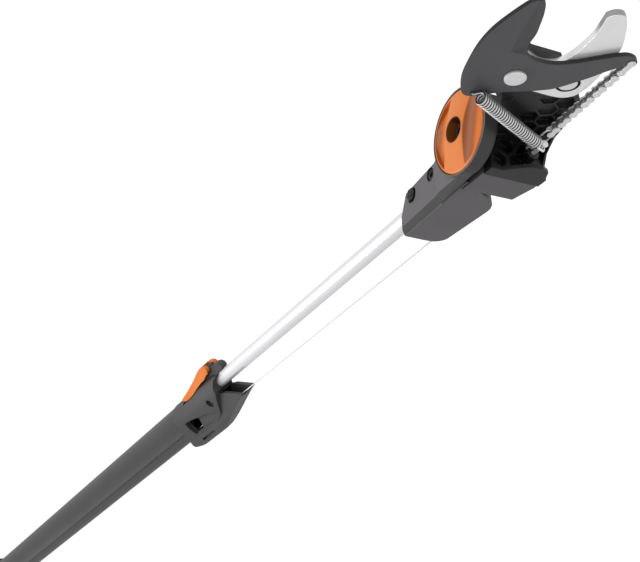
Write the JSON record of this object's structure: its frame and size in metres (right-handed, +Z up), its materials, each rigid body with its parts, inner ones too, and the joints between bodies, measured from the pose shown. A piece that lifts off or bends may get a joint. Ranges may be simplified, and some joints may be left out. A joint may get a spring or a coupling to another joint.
{
  "type": "tree pruner pole",
  "caption": "Telescopic tree pruner pole with a chain driven bypass head, tilt knob, clamp collar and pull handle.",
  "frame": {"origin": "on the inner tube's axis at the middle of the hand grip", "axes": "+Z up the pole to the cutting head, -X to the tilt knob's side, -Y to the blade's front"},
  "size_m": [0.1537, 0.0852, 2.6081],
  "materials": {
    "charcoal_tube": "powder coated",
    "grey_plastic": "moulded, fine grain",
    "black_plastic": "moulded, semi-gloss",
    "black_rubber": "moulded rubber",
    "orange_plastic": "moulded, satin",
    "silver_tube": "anodised",
    "steel": "ground steel",
    "bright_steel": "zinc plated",
    "coated_blade": "low friction coating",
    "strap_web": "woven webbing"
  },
  "bodies": {
    "pole": {"outer_tube": "charcoal_tube", "butt_cap": "black_rubber", "hand_grip": "black_rubber", "collar_body": "grey_plastic", "collar_screws": "bright_steel", "clamp_bush": "black_plastic", "lever_pin_rod": "bright_steel", "clamp_bolt_rod": "bright_steel", "clamp_nut": "bright_steel"},
    "clamp_lever": {"clamp_lever": "orange_plastic"},
    "pull_handle": {"handle_front": "black_plastic", "handle_back": "black_plastic", "handle_screws": "bright_steel", "strap_tongue": "black_plastic"},
    "inner_pole": {"inner_tube": "silver_tube", "tube_glide": "black_plastic", "base_cheek": "grey_plastic", "base_body": "grey_plastic", "base_bolts": "bright_steel", "base_nuts": "bright_steel", "strap_bush": "black_plastic", "pull_strap": "strap_web", "knob_washer": "bright_steel"},
    "tilt_knob": {"tilt_knob": "orange_plastic", "knob_bolt": "bright_steel"},
    "head": {"head_frame": "black_plastic", "drum_housing": "grey_plastic", "drum_axle": "steel", "hook": "steel", "hook_bolt_rod": "bright_steel", "back_plate": "coated_blade", "frame_rear": "black_plastic", "pivot_bolt": "bright_steel", "pivot_nut": "bright_steel", "tilt_nut": "bright_steel", "spring_post": "bright_steel", "frame_screws": "bright_steel", "draw_strap": "steel"},
    "drum": {"strap_drum": "black_plastic"},
    "blade": {"cutting_blade": "coated_blade", "chain_pin": "bright_steel"},
    "chain": {"chain_outer_links": "bright_steel", "chain_inner_links": "steel", "chain_rivets": "bright_steel"},
    "spring": {"return_spring": "steel"},
    "spring_hook": {"spring_hook": "steel"}
  },
  "joints": [
    {"name": "telescope", "type": "slide", "parent": "pole", "child": "inner_pole", "axis": [0, 0, 1], "range_m": [-0.4, 1.07]},
    {"name": "lever_flip", "type": "hinge", "parent": "pole", "child": "clamp_lever", "pos_m": [-0.0152, 0.0152, 1.692], "axis": [0.7071, 0.7071, 0], "range_deg": [0, 90]},
    {"name": "handle_pull", "type": "slide", "parent": "pole", "child": "pull_handle", "axis": [0, 0, -1], "range_m": [0, 0.18], "stiffness_N_per_m": 120, "springref_m": -0.12},
    {"name": "knob_turn", "type": "hinge", "parent": "inner_pole", "child": "tilt_knob", "pos_m": [0, 0, 2.31], "axis": [1, 0, 0], "continuous": true},
    {"name": "head_tilt", "type": "hinge", "parent": "inner_pole", "child": "head", "pos_m": [0, 0, 2.31], "axis": [1, 0, 0], "range_deg": [-100, 100]},
    {"name": "drum_turn", "type": "hinge", "parent": "head", "child": "drum", "pos_m": [0.006, 0, 2.284], "axis": [0, 1, 0], "range_deg": [0, 618.03]},
    {"name": "blade_close", "type": "hinge", "parent": "head", "child": "blade", "pos_m": [-0.058, -0.012, 2.4125], "axis": [0, 1, 0], "range_deg": [0, 54]},
    {"name": "chain_swing", "type": "hinge", "parent": "blade", "child": "chain", "pos_m": [0.016, -0.012, 2.4635], "axis": [0, 1, 0], "range_deg": [-47, 0], "deforming": ["draw_strap"]},
    {"name": "spring_swing", "type": "hinge", "parent": "blade", "child": "spring_hook", "pos_m": [-0.077, -0.012, 2.381], "axis": [0, 1, 0], "range_deg": [-45.94, 0]},
    {"name": "spring_stretch", "type": "slide", "parent": "spring_hook", "child": "spring", "axis": [0.9076, 0, -0.4198], "range_m": [0, 0.02848], "deforming": ["return_spring"]}
  ],
  "couplings": [
    {"joint": "drum_turn", "follows": "handle_pull", "rad_per_m": 59.926},
    {"joint": "blade_close", "follows": "handle_pull", "rad_per_m": 5.236},
    {"joint": "chain_swing", "follows": "handle_pull", "rad_per_m": -4.5572},
    {"joint": "spring_swing", "follows": "handle_pull", "rad_per_m": -4.4543},
    {"joint": "spring_stretch", "follows": "handle_pull", "ratio": 0.15822}
  ]
}
